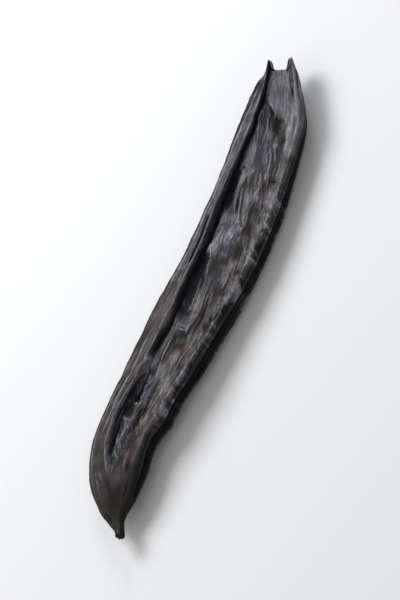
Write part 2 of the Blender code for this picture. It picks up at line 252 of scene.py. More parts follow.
podDetail = {
    "strands": {
        "inner ridge of the left rim": (0.36, 0.7, 0.014, (
            (0.33, -0.43), (0.4, -0.46), (0.46, -0.5), (0.5, -0.55), (0.55, -0.58), (0.6, -0.61),
            (0.64, -0.66), (0.7, -0.68), (0.76, -0.65), (0.8, -0.62), (0.82, -0.61))),
        "inner ridge, farther on": (0.34, 0.3, 0.014, (
            (0.78, -0.63), (0.82, -0.61), (0.88, -0.6), (0.92, -0.62), (0.95, -0.68), (1.0, -0.8))),
        "outer ridge of the left rim": (0.7, 0.35, 0.01, (
            (0.46, -0.88), (0.55, -0.86), (0.62, -0.86), (0.7, -0.88), (0.8, -0.88), (0.9, -0.86),
            (1.0, -0.94))),
        "groove between the two": (0.26, -0.6, 0.012, (
            (0.53, -0.64), (0.58, -0.68), (0.62, -0.72), (0.655, -0.75))),
        "foot of the left wall": (0.36, -0.75, 0.03, (
            (0.35, -0.33), (0.42, -0.34), (0.46, -0.39), (0.5, -0.43), (0.56, -0.46), (0.62, -0.48),
            (0.68, -0.53), (0.72, -0.52), (0.76, -0.53), (0.8, -0.53), (0.84, -0.5), (0.88, -0.52),
            (0.92, -0.5), (0.95, -0.58), (1.0, -0.74))),
        "dip by the left wall, near part": (1.5, -0.7, 0.03, (
            (0.43, -0.29), (0.5, -0.31), (0.55, -0.38), (0.58, -0.42))),
        "dip by the left wall, far part": (0.9, -0.7, 0.03, (
            (0.65, -0.42), (0.7, -0.43), (0.76, -0.46))),
        "left wrinkle of the pair": (0.34, 0.6, 0.01, (
            (0.652, -0.1), (0.68, -0.2), (0.722, -0.29))),
        "right wrinkle of the pair": (0.32, 0.5, 0.01, (
            (0.65, 0.04), (0.68, -0.06), (0.7, -0.13), (0.722, -0.18))),
        "slit between the pair": (0.24, -0.5, 0.01, (
            (0.655, -0.03), (0.68, -0.13), (0.715, -0.235))),
        "ridge at the far right prong": (0.5, 0.3, 0.008, (
            (0.86, 0.74), (0.93, 0.74), (1.0, 0.8))),
        "groove left of that prong": (0.5, -0.5, 0.012, (
            (0.895, 0.6), (0.93, 0.6), (0.96, 0.56), (1.0, 0.6))),
        "line on that prong": (0.25, -0.3, 0.008, (
            (0.9, 0.87), (0.95, 0.88), (1.0, 0.92))),
        "furrow under the raised skin": (0.34, -0.5, 0.05, (
            (0.857, 0.36), (0.864, 0.2), (0.874, 0.0), (0.889, -0.18), (0.906, -0.36))),
        "lower part of that furrow": (0.5, -0.25, 0.05, (
            (0.8, 0.6), (0.82, 0.54), (0.84, 0.47), (0.856, 0.38))),
        "bottom of the deep crease": (0.7, -0.7, 0.07, (
            (0.222, -0.24), (0.24, -0.22), (0.262, -0.14), (0.285, -0.12), (0.31, -0.2))),
        "right lip of the deep crease": (0.42, 1.15, 0.04, (
            (0.16, -0.02), (0.19, 0.07), (0.21, 0.17), (0.23, 0.22), (0.25, 0.22), (0.27, 0.13),
            (0.29, 0.07), (0.312, 0.0))),
        "bright facet of that lip": (0.9, 0.55, 0.04, (
            (0.25, 0.24), (0.265, 0.2), (0.28, 0.16), (0.3, 0.12))),
        "line down the crease's left wall": (0.2, -0.5, 0.02, (
            (0.17, -0.34), (0.22, -0.36), (0.27, -0.34), (0.31, -0.33))),
        "line beside that lip": (0.3, -0.22, 0.05, (
            (0.2, 0.3), (0.23, 0.38), (0.26, 0.36), (0.28, 0.3))),
        "hollow's left edge, near part": (0.46, 1.0, 0.014, (
            (0.112, -0.15), (0.13, -0.25), (0.15, -0.34), (0.17, -0.4), (0.2, -0.43), (0.22, -0.45),
            (0.25, -0.42), (0.3, -0.39), (0.345, -0.38))),
        "channel to the hollow's near end": (0.3, -0.6, 0.03, (
            (0.125, -0.09), (0.15, -0.2), (0.17, -0.27), (0.2, -0.27), (0.235, -0.28))),
        "light wrinkle along the face": (0.36, 0.5, 0.02, (
            (0.402, 0.28), (0.43, 0.22), (0.46, 0.2), (0.5, 0.13), (0.535, 0.05))),
        "furrow beside it": (0.4, -0.28, 0.05, (
            (0.43, -0.02), (0.46, -0.04), (0.5, -0.1), (0.54, -0.2))),
        "second furrow beside it": (0.35, -0.22, 0.05, (
            (0.38, 0.5), (0.42, 0.42), (0.46, 0.36), (0.5, 0.26))),
        "wrinkle at the foot of the folds": (0.3, 0.35, 0.02, (
            (0.34, 0.55), (0.38, 0.53), (0.41, 0.55))),
        "streak across the big bulge": (0.3, 0.22, 0.05, (
            (0.575, 0.2), (0.6, 0.12), (0.64, -0.05))),
        "second streak there": (0.3, 0.25, 0.05, (
            (0.57, -0.02), (0.6, -0.12), (0.635, -0.22))),
        "bright fold end": (0.32, 0.6, 0.01, (
            (0.34, 0.42), (0.355, 0.24), (0.372, 0.04))),
        "fold past the deep crease": (0.5, 0.45, 0.03, (
            (0.31, 0.12), (0.33, 0.05), (0.36, -0.05), (0.39, -0.1), (0.415, -0.13))),
        "slanting wrinkle by the crease": (0.35, 0.4, 0.01, (
            (0.188, 0.6), (0.203, 0.48), (0.218, 0.38))),
        "second slanting wrinkle": (0.4, 0.4, 0.01, (
            (0.165, 0.55), (0.19, 0.7), (0.2, 0.82))),
        "light line at the orange spot": (0.3, 0.4, 0.01, (
            (0.112, 0.52), (0.13, 0.46), (0.15, 0.36))),
        "wrinkle on the broad left rim": (0.5, 0.3, 0.03, (
            (0.16, -0.62), (0.24, -0.66), (0.32, -0.64), (0.42, -0.72))),
        "second wrinkle there": (0.4, 0.25, 0.02, (
            (0.06, -0.75), (0.12, -0.82), (0.25, -0.84), (0.36, -0.86))),
        "line at the tapered end": (0.4, -0.3, 0.01, (
            (0.045, 0.6), (0.08, 0.74), (0.12, 0.88))),
        "wrinkle from the stub to the left": (0.35, 0.25, 0.03, (
            (0.045, -0.5), (0.075, -0.58), (0.115, -0.7))),
        "wrinkle from the stub up the middle": (0.4, -0.25, 0.03, (
            (0.05, 0.05), (0.08, -0.1), (0.115, -0.32))),
        "second wrinkle up the middle": (0.35, 0.22, 0.04, (
            (0.055, 0.3), (0.085, 0.34), (0.115, 0.3))),
    },
    "strandFade": 0.025,  # in stations, as the next
    "waverSize": 0.022,
    "strandUneven": 0.5,
    "spots": (  # bumps and pits: station, across, half length, half width, height
        (0.328, -0.34, 2.4, 0.6, 0.8), (0.415, 0.04, 0.45, 1.8, 0.35), (0.128, 0.6, 1.4, 0.6, -0.35),
        (0.76, -0.38, 0.4, 0.9, -0.3), (0.257, -0.1, 0.4, 1.8, 0.5), (0.224, -0.08, 0.5, 1.8, 0.35),
        (0.288, 0.05, 1.4, 0.5, 0.6), (0.742, 0.58, 0.35, 1.7, -0.35), (0.655, 0.74, 0.8, 0.8, 0.3),
        (0.61, 0.8, 0.8, 0.7, 0.3),
    ),
    "foldStations": (0.2, 0.76, 0.07),  # start, end, fade
    "foldAcross": (0.53, 1.2, 0.16),
    "foldHeight": 0.65,
    "foldSlant": 0.9,
    "foldLevel": -0.45,
    "lumps": ((3.4, 4.2, 0.55, 12.0), (2.1, 1.5, 0.6, 5.0)),  # size across, along, height, shift
    "lumpRise": 2.2,
    "lumpSwell": (7.0, 7.5, 0.7, 3.0),  # the broader waves that carry them
    "cornerStations": (0.14, 1.06, 0.07),
    "cornerPower": 3.2,  # above 2 the right rim's rounded corner is squarer
    "cornerWave": 0.3,
    "rimWaves": (9.0, 2.6, 0.13),  # size across, size along, height
    "rimWaveSlant": 1.2,
    "layerEdge": (
        (-0.5, 0.918), (-0.3, 0.904), (-0.15, 0.889), (0.0, 0.878), (0.15, 0.869), (0.38, 0.862),
        (0.48, 0.847), (0.56, 0.825), (0.66, 0.8), (0.75, 0.79), (0.9, 0.79),
    ),
    "layerWaves": ((0.007, 6.0, 2.2), (0.006, 17.0, 5.2)),  # height in stations, how often, shift
    "layerFade": (-0.005, 0.006),
    "layerLeft": (-0.56, -0.46),
    "layerHeight": 0.22,
    "detailHalfWidth": 14.456,  # the half width that the wrinkles are laid out over
    "longVein": (1.7, 10.0, 0.15, 0.17),  # size across, size along, height, share of the line
    "fineVein": (0.75, 4.2, 0.09, 0.22),
    "sideVein": (0.9, 6.0, 0.1, 0.2),
    "veinBend": (6.0, 7.0, 0.35),
    "faceSlant": 0.24,  # how far across the face's wrinkles run for each step along
    "dents": (3.4, 5.2, 0.24),
    "grain": (0.8, 1.5, 0.045),
    "striations": (0.42, 9.0, 0.06),
    "striationStart": (0.76, 0.84),
    "wrinkledPatches": (9.0, 16.0),  # size of the areas that are wrinkled more or less
    "patchRange": (-0.25, 0.35),
    "patchStrength": (0.3, 0.9),
    "smoothStations": (0.69, 0.9, 0.04),  # the calmer part of the face
    "smoothShare": 0.25,
    "layerCalm": 0.3,  # how much calmer the wrinkles are there
    "stubCalm": 0.3,
    "rimCalm": 0.4,
    "seam": ((0.5, 0.16, 0.4), (0.0, 0.26, -0.85), (0.0, 0.075, 0.95)),  # place, half width, height
    "stubStations": (0.02, 0.05),
    "stubRidges": (2.2, 5.0, 0.22),  # how many, their length and height
    "brokenEnd": (0.7, 0.5, 0.02),  # size and height of the torn points, and where they end
}


def strandsAt(station):
    found = []
    for number, (halfWidth, height, waver, path) in enumerate(podDetail["strands"].values()):
        start, end = path[0][0], path[-1][0]
        if not start <= station <= end:
            continue
        fade = podDetail["strandFade"]
        share = ease(start, start + fade, station)
        if end < 1.0:
            share *= 1.0 - ease(end - fade, end, station)
        phase = Vector((station / podDetail["waverSize"], 3.7 * number, 0.5))
        place = along(path, station) + waver * noise.noise(phase)
        uneven = podDetail["strandUneven"] * noise.noise(phase * 1.7 + Vector((0.0, 0.0, 9.0)))
        found.append((place, halfWidth * mm, height * mm * share * (1.0 + uneven)))
    return found


def ringAt(station):
    # everything that all the points of one ring share
    side, up = axisFrame(station)
    length, thickness = podForm["length"], podForm["thickness"]
    ring = {
        "station": station,
        "y": station * length,
        "middle": axisPoint(station),
        "side": side,
        "up": up,
        "ahead": up.cross(side),
        "halfWidth": podForm["width"] / 2 * along(podForm["widthShare"], station),
        "halfHeight": thickness / 2 * along(podForm["thicknessShare"], station),
        "swellings": sum(
            height * thickness * hump((station - middle) * length, podForm["seedHalfLength"])
            for middle, height in podForm["seeds"]
        ),
        "creases": [
            (place, halfAcross * mm, depth * mm * hump((station - middle) * length, halfLength * mm))
            for middle, place, halfLength, halfAcross, depth in podForm["creases"]
            if abs(station - middle) * length < reach * (halfLength * mm)
        ],
        "strands": strandsAt(station),
        "body": ease(*podForm["bodyStart"], station),
        "open": openShare(station),
        "folded": window(*podDetail["foldStations"], station),
        "stub": 1.0 - ease(*podDetail["stubStations"], station),
        "farFibres": ease(*podDetail["striationStart"], station),
    }
    for unit, names in (
        (1.0, ("hollowLeft", "hollowRight", "underLeft", "underRight")),
        (mm, ("leftMargin", "rightMargin")),
        (thickness, ("hollowDepth", "leftRimFall", "underDepth")),
    ):
        ring.update({name: along(podForm[name], station) * unit for name in names})
    return ring


def openShare(station):
    if station < podForm["stubCap"]:
        closed = 1.0 - station / podForm["stubCap"]
    else:
        closed = max(0.0, (station - podForm["farCap"]) / (1.0 - podForm["farCap"]))
    return math.sqrt(max(0.0, 1.0 - closed**2))


def seedSwelling(ring, across):
    offset = (across - podForm["seedAcross"]) * ring["halfWidth"]
    return ring["swellings"] * hump(offset, podForm["seedHalfWidth"])


def upperForm(ring, across):
    share = hollowShare(across, ring["hollowLeft"], ring["hollowRight"], podForm["hollowWalls"])
    relief = share * (seedSwelling(ring, across) - ring["hollowDepth"])
    relief -= ring["leftRimFall"] * ease(podForm["leftRimCrest"] - ring["hollowLeft"], 1.0, -across)
    for place, halfAcross, depth in ring["creases"]:
        relief -= depth * hump((across - place) * ring["halfWidth"], halfAcross)
    return relief, share


def lowerForm(ring, across):
    share = hollowShare(across, ring["underLeft"], ring["underRight"], podForm["underWalls"])
    return share * (podForm["underSeedShare"] * seedSwelling(ring, across) - ring["underDepth"]), share


def layerShare(ring, across):
    # the thin raised skin at the far end, past a slanting, ragged edge
    edge = along(podDetail["layerEdge"], across)
    for height, often, shift in podDetail["layerWaves"]:
        edge += height * noiseAt(across * often, 0.3, shift)
    past = ease(*podDetail["layerFade"], ring["station"] - edge)
    return past * ease(*podDetail["layerLeft"], across)


def spot(ring, across, values):
    station, place, halfLength, halfWidth, height = values
    away = (ring["station"] - station) * podForm["length"]
    beside = (across - place) * ring["halfWidth"]
    return height * hump(away, halfLength * mm) * hump(beside, halfWidth * mm)


def foldsAcross(ring, x):
    # crumpled lumps over the right rim in two sizes, with sharp creases between, on broader waves
    acrossRim, alongRim = x / mm, (ring["y"] + podDetail["foldSlant"] * x) / mm
    total = podDetail["foldLevel"]
    for sizeAcross, sizeAlong, height, shift in podDetail["lumps"]:
        lump = abs(noiseAt(acrossRim / sizeAcross, alongRim / sizeAlong, shift))
        total += height * min(1.0, podDetail["lumpRise"] * lump)
    sizeAcross, sizeAlong, height, shift = podDetail["lumpSwell"]
    return total + height * noiseAt(acrossRim / sizeAcross, alongRim / sizeAlong, shift)


def upperDetail(ring, across, x):
    # the lines, spots, lumps and raised skin that were placed on the upper face, in metres
    placed = 0.0
    for place, halfWidth, height in ring["strands"]:
        offset = (across - place) * ring["halfWidth"]
        if abs(offset) < reach * halfWidth:
            placed += height * hump(offset, halfWidth)
    placed += sum(spot(ring, across, values) for values in podDetail["spots"]) * mm
    start, end, fade = podDetail["foldAcross"]
    if ring["folded"] > 0.0 and across > start:
        band = window(start, end, fade, across) * ring["folded"]
        placed += band * podDetail["foldHeight"] * mm * foldsAcross(ring, x)
    layer = layerShare(ring, across)
    placed += layer * podDetail["layerHeight"] * mm
    return placed, layer


def skinDetail(ring, across, z, layer, hollow):
    # wrinkles, dents and fibres, drawn out along the pod, and slanting on the sunken face
    u, v, w = across * podDetail["detailHalfWidth"], ring["y"] / mm, z / mm

    def at(size, shift, slant=0.0):
        return Vector(((u + slant * v) / size[0] + shift, v / size[1], w / size[0]))

    def rough(name, shift, slant=0.0):
        return podDetail[name][2] * noise.noise(at(podDetail[name], shift, slant))

    calm = (1.0 - podDetail["layerCalm"] * layer) * (1.0 - podDetail["stubCalm"] * (1.0 - ring["body"]))
    calm *= 1.0 - podDetail["rimCalm"] * (1.0 - hollow)
    calm *= 1.0 - podDetail["smoothShare"] * hollow * window(*podDetail["smoothStations"], ring["station"])
    patch = ease(*podDetail["patchRange"], noise.noise(at(podDetail["wrinkledPatches"], 23.0)))
    least, more = podDetail["patchStrength"]
    straight = veinsAt(at, 0.0) if hollow < 1.0 else 0.0
    slanting = veinsAt(at, podDetail["faceSlant"]) if hollow > 0.0 else 0.0
    height = (straight + hollow * (slanting - straight)) * (least + more * patch)
    height += rough("dents", 11.0) + rough("grain", 17.0)
    height += (1.0 - hollow) * rough("rimWaves", 29.0, podDetail["rimWaveSlant"])
    return (height * calm + ring["farFibres"] * rough("striations", 3.0)) * mm


def veinsAt(at, slant):
    push = Vector((podDetail["veinBend"][2] * noise.noise(at(podDetail["veinBend"], 41.0)), 0.0, 0.0))
    height = 0.0
    for name, shift, bent in (("longVein", 0.0, 1.0), ("fineVein", 5.0, 2.0)):
        size = podDetail[name]
        height += size[2] * vein(at(size, shift, slant) + push * bent, size[3])
    return height


def marginShift(ring, across):
    # how far a point is carried out with its margin, most at the margin and not at the axis
    return (ring["rightMargin"] if across > 0.0 else ring["leftMargin"]) * across * abs(across)


def sideDetail(ring, z):
    # the seam along each margin: two ridges, the groove between them and the thin line in it
    away = abs(z / ring["halfHeight"])
    relief = sum(height * hump(away - place, halfWidth) for place, halfWidth, height in podDetail["seam"])
    sizeAcross, sizeAlong, height, lineShare = podDetail["sideVein"]
    wrinkle = vein(Vector((z / mm / sizeAcross, ring["y"] / mm / sizeAlong, 4.0)), lineShare)
    return (relief + height * wrinkle) * mm


def cornerDetail(ring, x, nx, nz):
    # the right rim's crest is squarer than the solid's corner, and the lumps run on over it
    if nx <= 0.0 or nz <= 0.0:
        return 0.0
    power = podDetail["cornerPower"]
    square = podForm["upperCorner"] * ((nx**power + nz**power) ** (-1.0 / power) - 1.0)
    folds = ring["folded"] * foldsAcross(ring, x) if ring["folded"] > 0.0 else 0.0
    wave = (2.0 * nx * nz) ** 2 * podDetail["cornerWave"] * folds * mm
    return window(*podDetail["cornerStations"], ring["station"]) * (square + wave)


def skinFolds(ring, x, z):
    point = ring["middle"] + Vector((x, 0.0, z))
    swells = podForm["swellHeight"] * noise.noise(point / podForm["swellSize"])
    drawnOut = Vector((x, ring["y"] / podForm["foldStretch"], point.z))
    return swells + podForm["foldHeight"] * noise.noise(drawnOut / podForm["foldSize"])


def farEndFall(ring, across):
    # the far end falls short between its prongs and beside them
    share = ease(podForm["farEndStart"], 1.0, ring["station"])
    if share == 0.0:
        return 0.0
    uneven, often = podForm["farEndRagged"]
    ragged = 1.0 + uneven * noiseAt(across * often, 0.0, 7.0)
    return max(0.0, along(podForm["farEnd"], across)) * mm * ragged * share


def stubRelief(ring, x, z):
    count, length, height = podDetail["stubRidges"]
    angle = math.atan2(z, x)
    lines = noiseAt(count * math.cos(angle), count * math.sin(angle), ring["y"] / mm / length)
    return ring["stub"] * height * mm * lines


def tornEnd(ring, x, z):
    size, height, end = podDetail["brokenEnd"]
    share = 1.0 - ease(0.0, end, ring["station"])
    return share * height * mm * noiseAt(x / (size * mm), z / (size * mm), 0.0)


# Tints are patches of the skin's colour, but the bluish ones are a painted sheen and the pits a painted
# shade: station, across, half length and half width in mm, strength

podTints = {
    # painted bluish sheen, in patches over the bulges and ridges
    "blueSheen": (
        (0.612, -0.05, 6, 3.6, 1), (0.43, -0.02, 4.2, 1.7, 0.9), (0.205, -0.02, 4, 1.5, 0.9),
        (0.735, -0.33, 4.5, 1.1, 0.8), (0.28, 0.1, 2.6, 0.6, 1), (0.835, 0.56, 4.4, 0.8, 0.7),
        (0.66, -0.85, 7, 2.2, 0.7), (0.14, -0.28, 4, 0.8, 1), (0.33, -0.34, 2.4, 0.8, 0.9),
        (0.52, 0.1, 5, 2, 0.3), (0.14, 0.9, 3.5, 1.4, 0.4), (0.274, -0.14, 3, 1.8, 0.6),
        (0.8, 0, 6, 2.6, 0.4), (0.105, 0.15, 2, 2.2, 0.6), (0.272, 0.16, 4.2, 1.2, 1),
        (0.2, -0.41, 6.5, 0.8, 1), (0.69, -0.45, 5, 0.6, 0.5),
    ),
    "brown": (
        (0.556, 0.13, 2.6, 3.8, 1), (0.615, 0.47, 5.5, 1, 0.9), (0.865, 0.16, 2.4, 1.5, 1),
        (0.85, 0.26, 3, 1.4, 1), (0.82, 0.44, 3.6, 1, 0.9), (0.372, 0.22, 4.6, 2.8, 1),
        (0.25, 0.72, 3.2, 1.8, 0.9), (0.5, 0.36, 6, 1.8, 0.7), (0.17, 0.5, 6.5, 4, 0.9),
        (0.32, 0.3, 6, 3, 0.8), (0.68, -0.26, 4.5, 1.2, 0.8), (0.69, 0.3, 3.5, 1.6, 0.4),
        (0.5, -0.8, 5, 4, 0.6), (0.26, -0.75, 6, 3.4, 0.7), (0.14, -0.6, 6, 4, 0.8),
        (0.07, 0.4, 3.4, 3, 0.9), (0.085, -0.2, 3, 1.2, 0.8), (0.38, -0.8, 4, 4, 0.6),
        (0.87, -0.85, 3.6, 2.4, 0.6), (0.24, 0.4, 5, 1.4, 0.7), (0.45, -0.3, 5, 1, 0.8),
        (0.05, -0.1, 4.5, 4, 0.7), (0.115, 0.55, 3, 1.6, 0.5),
    ),
    "mauve": (
        (0.43, -0.76, 8, 4.2, 1), (0.46, 0.42, 6, 1.6, 0.9), (0.34, 0.26, 3, 2.2, 0.7),
        (0.77, 0.52, 5.5, 1.5, 0.9), (0.7, 0.36, 5, 1.8, 0.7), (0.22, 0.66, 3.5, 2.2, 0.7),
        (0.3, 0.72, 4.5, 2.4, 0.7), (0.965, -0.12, 5, 2.4, 0.7), (0.2, -0.7, 6, 3, 0.9),
        (0.54, 0.75, 4, 2.2, 0.6), (0.46, 0.2, 5, 1.4, 0.9), (0.09, -0.6, 4, 2.6, 0.8),
        (0.64, 0.62, 4, 1.6, 0.6), (0.32, -0.7, 4, 3, 0.9), (0.5, 0.66, 3, 1.4, 0.6),
        (0.5, -0.28, 6, 1.4, 0.8),
    ),
    "gold": (
        (0.36, 0.2, 2.6, 0.7, 1), (0.205, 0.47, 4, 1, 0.7), (0.4, 0.4, 5, 1, 0.6),
        (0.132, 0.46, 2.4, 0.4, 1), (0.26, 0.56, 5, 1, 0.5), (0.385, 0.55, 4.5, 0.45, 0.9),
        (0.7, -0.2, 3.4, 1, 0.4), (0.56, 0.34, 2, 1.6, 0.4),
    ),
    "red": (
        (0.13, 0.6, 2.8, 1.2, 1), (0.137, 0.54, 2.4, 0.9, 1), (0.29, -0.35, 4, 0.4, 1),
        (0.741, 0.62, 0.7, 1.8, 0.6), (0.3, 0.95, 3, 0.7, 0.6), (0.585, 0.97, 6, 0.8, 0.4),
        (0.235, -0.2, 2, 1.2, 0.6), (0.45, 0.5, 3, 0.6, 0.3), (0.77, 0.5, 4, 1.2, 0.2),
        (0.45, -0.7, 5, 2.4, 0.2),
    ),
    # painted shade in the pits and down the deep crease
    "pitShade": (
        (0.275, -0.12, 2.5, 1.5, 1), (0.242, -0.15, 1.9, 1.2, 1), (0.31, -0.17, 1.6, 0.8, 0.9),
        (0.26, -0.31, 7, 0.4, 0.8), (0.18, -0.28, 4.5, 0.35, 0.9), (0.915, -0.4, 1, 0.5, 0.6),
        (0.5, -0.34, 9, 0.8, 0.1), (0.456, 0.97, 0.8, 0.7, 0.7), (0.878, -0.03, 1.4, 0.8, 0.6),
        (0.755, -0.44, 1.6, 0.8, 0.6), (0.6, -0.44, 8, 0.5, 0.25), (0.06, 0, 3, 2, 0.6),
        (0.125, 0.72, 2.4, 1, 0.7), (0.08, 0.35, 3.4, 1.6, 0.4), (0.853, 0.48, 3.2, 0.5, 0.6),
        (0.83, 0.62, 3, 0.4, 0.3), (0.9, 0.25, 1.6, 0.4, 0.4), (0.93, 0.62, 4, 0.5, 0.4),
        (0.985, 0.86, 3.5, 1.2, 0.4),
    ),
}


def tintAt(kind, ring, across):
    total = 0.0
    for station, place, halfLength, halfWidth, strength in podTints[kind]:
        away = (ring["station"] - station) * podForm["length"] / (halfLength * mm)
        if abs(away) < podMasks["tintReach"]:
            beside = (across - place) * ring["halfWidth"]
            total += strength * hump(away, 1.0) * hump(beside, halfWidth * mm)
    return min(1.0, total)


podMasks = {
    "tintReach": 2.2,
    "stripEdge": (0.56, 0.1, 3.2),  # where it starts across, how far it wavers, and its wave's mm
    "stripFade": 0.14,
    "stripStations": (0.13, 0.8, 0.05),
    "rightFlank": (0.8, 0.98),  # how far the skin has turned to the side
    "rightFlankLumps": 0.3,
    "leftFlank": (0.5, 0.95, 0.7),
    "layerRight": (0.55, 0.75, 0.6),  # the raised skin shows less on the right prong
    "prongStations": (0.93, 0.985),  # and the prong's end is duller
    "prongAcross": (0.4, 0.7),
    "prongShare": 0.6,
    "fineCrest": 1.5,
    "underside": (-0.6, 0.3),
}


def stripShare(ring, across):
    # the paler band along the right rim's lumps: rubbed skin with a painted highlight on it
    start, waver, size = podMasks["stripEdge"]
    edge = start + waver * noiseAt(ring["y"] / mm / size, 0.0, 31.0)
    share = ease(edge, edge + podMasks["stripFade"], across)
    return share * window(*podMasks["stripStations"], ring["station"])


def flankShare(ring, x, nx):
    # painted shade on the side under the right crest, and a milder painted shade at the left margin
    if nx < 0.0:
        start, end, strength = podMasks["leftFlank"]
        return strength * ease(start, end, -nx)
    lumps = podMasks["rightFlankLumps"] * foldsAcross(ring, x) * ring["folded"]
    return ease(*podMasks["rightFlank"], nx - lumps)


def skinPoint(ring, turn):
    # the point of the skin at a turn of this ring, and what the material needs to know there
    x, z, nx, nz = sectionPoint(turn, ring["halfWidth"], ring["halfHeight"])
    across = x / ring["halfWidth"]
    onTop = max(0.0, nz)
    placed, layer = upperDetail(ring, across, x) if nz >= 0.0 else (0.0, 0.0)
    broadForm, hollow = upperForm(ring, across) if nz >= 0.0 else lowerForm(ring, across)
    fine = skinDetail(ring, across, z, layer, hollow)
    sides = nx * nx * ring["body"] * sideDetail(ring, z)
    relief = nz * nz * broadForm + onTop * placed + cornerDetail(ring, x, nx, nz) + sides
    relief += ring["body"] * skinFolds(ring, x, z) + fine + stubRelief(ring, x, z)
    cx = (x + nx * relief + marginShift(ring, across)) * ring["open"]
    cz = (z + nz * relief) * ring["open"]
    forward = tornEnd(ring, cx, cz) - farEndFall(ring, across * ring["open"])
    point = ring["middle"] + ring["side"] * cx + ring["up"] * cz + ring["ahead"] * forward
    point.z = max(point.z, 0.0)

    prong = ease(*podMasks["prongStations"], ring["station"]) * ease(*podMasks["prongAcross"], across)
    dulled = 1.0 - podMasks["prongShare"] * prong
    start, end, less = podMasks["layerRight"]
    masks = {
        "crest": (onTop * placed + podMasks["fineCrest"] * fine + sides) / mm * dulled,
        "hollow": hollow,
        "layer": layer * onTop * onTop * (1.0 - less * ease(start, end, across)) * dulled,
        "shadedFlank": flankShare(ring, x, nx),
        "stripAndHighlight": stripShare(ring, across) * onTop * onTop,
        "under": 1.0 - ease(*podMasks["underside"], nz),
    }
    for kind in podTints:
        masks[kind] = tintAt(kind, ring, across) * onTop * onTop
    return point, Vector((x, ring["y"], z)), masks


podMesh = {
    "columns": 224,
    "rings": 440,
    "upperColumns": 0.62,  # the share of the columns on the upper half
    "ringStations": (
        (0.0, 0.0), (0.022, 0.005), (0.08, 0.045), (0.5, 0.5), (0.92, 0.955), (0.975, 0.989), (1.0, 1.0),
    ),
    "maskNames": ("crest", "hollow", "layer", "shadedFlank", "stripAndHighlight", "under", *podTints),
}


def spreadTurn(turn):
    # gives the upper half of the section its larger share of the columns
    upperShare = podMesh["upperColumns"]
    if turn < upperShare:
        return 0.5 * turn / upperShare
    return 0.5 + 0.5 * (turn - upperShare) / (1.0 - upperShare)


def makePod():
    bm = bmesh.new()
    columns, rows = podMesh["columns"], podMesh["rings"]
    bmesh.ops.create_uvsphere(bm, u_segments=columns, v_segments=rows, radius=1.0)
    rings = [ringAt(along(podMesh["ringStations"], k / rows)) for k in range(rows + 1)]
    straightLayer = bm.verts.layers.float_vector.new("straight")
    stationLayer = bm.verts.layers.float.new("station")
    maskLayers = {name: bm.verts.layers.float.new(name) for name in podMesh["maskNames"]}
    for v in bm.verts:
        row = round(math.acos(max(-1.0, min(1.0, -v.co.z))) / math.pi * rows)
        atPole = row in (0, rows)
        turn = 0.25 if atPole else spreadTurn((math.atan2(v.co.y, v.co.x) / math.tau) % 1.0)
        v.co, v[straightLayer], masks = skinPoint(rings[row], turn)
        v[stationLayer] = rings[row]["station"]
        for name, layer in maskLayers.items():
            v[layer] = masks[name]
    placeOverSolid(bm)
    bmesh.ops.recalc_face_normals(bm, faces=bm.faces)
    mesh = bpy.data.meshes.new("pod_skin")
    bm.to_mesh(mesh)
    bm.free()
    mesh.shade_smooth()
    print("pod: skin made,", len(mesh.polygons), "faces")
    return addObject("pod_skin", mesh)


def placeOverSolid(bm):
    # the middle of the fine piece goes over the middle of the solid that it stands for
    low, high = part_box("carob_pod")
    xs = [v.co.x for v in bm.verts]
    ys = [v.co.y for v in bm.verts]
    shift = Vector((
        (low[0] + high[0] - min(xs) - max(xs)) / 2,
        (low[1] + high[1] - min(ys) - max(ys)) / 2,
        low[2],
    ))
    bmesh.ops.translate(bm, verts=bm.verts, vec=shift)


# Materials

def node(tree, kind, place, **values):
    made = tree.nodes.new(kind)
    made.location = (place[0] * 200, -place[1] * 180)
    for name, value in values.items():
        setattr(made, name, value)
    return made


def attributeOf(tree, name, place):
    return node(tree, "ShaderNodeAttribute", place, attribute_name=name, label=name)


def feed(tree, made, values):
    # gives a node's inputs another node's output, a number or a colour each
    for name, value in values.items():
        if isinstance(value, bpy.types.NodeSocket):
            tree.links.new(value, made.inputs[name])
        else:
            made.inputs[name].default_value = (*value, 1.0) if isinstance(value, tuple) else value


def mixColour(tree, place, share, low, high, blend="MIX"):
    mix = node(tree, "ShaderNodeMix", place, data_type="RGBA", blend_type=blend, clamp_factor=True)
    feed(tree, mix, {0: share, 6: low, 7: high})
    return mix.outputs[2]


def mathOf(tree, place, operation, first, second, clamp=False):
    made = node(tree, "ShaderNodeMath", place, operation=operation, use_clamp=clamp)
    feed(tree, made, {0: first, 1: second})
    return made.outputs[0]


def mapRange(tree, place, value, low, high, toLow=0.0, toHigh=1.0):
    made = node(tree, "ShaderNodeMapRange", place, clamp=True, interpolation_type="SMOOTHSTEP")
    feed(tree, made, dict(enumerate((value, low, high, toLow, toHigh))))
    return made.outputs["Result"]


def groupWith(name, values, outputs):
    # a group that takes the straight coordinates and these numbers
    group = bpy.data.node_groups.new(name, "ShaderNodeTree")
    group.interface.new_socket(name="Straight", in_out="INPUT", socket_type="NodeSocketVector")
    for label, value in values.items():
        socket = group.interface.new_socket(name=label, in_out="INPUT", socket_type="NodeSocketFloat")
        socket.default_value = value
    for label in outputs:
        group.interface.new_socket(name=label, in_out="OUTPUT", socket_type="NodeSocketFloat")
    return group, node(group, "NodeGroupInput", (-6, 0)), node(group, "NodeGroupOutput", (8, 0))


def noiseOf(tree, place, vector, scale, detail=3.0, roughness=0.55):
    made = node(tree, "ShaderNodeTexNoise", place, noise_dimensions="3D")
    feed(tree, made, {"Vector": vector, "Scale": scale, "Detail": detail, "Roughness": roughness})
    return made.outputs["Fac"]


def stretched(tree, place, vector, alongShare):
    mapping = node(tree, "ShaderNodeMapping", place, vector_type="POINT")
    mapping.inputs["Scale"].default_value = (1.0, alongShare, 1.0)
    tree.links.new(vector, mapping.inputs["Vector"])
    return mapping.outputs["Vector"]


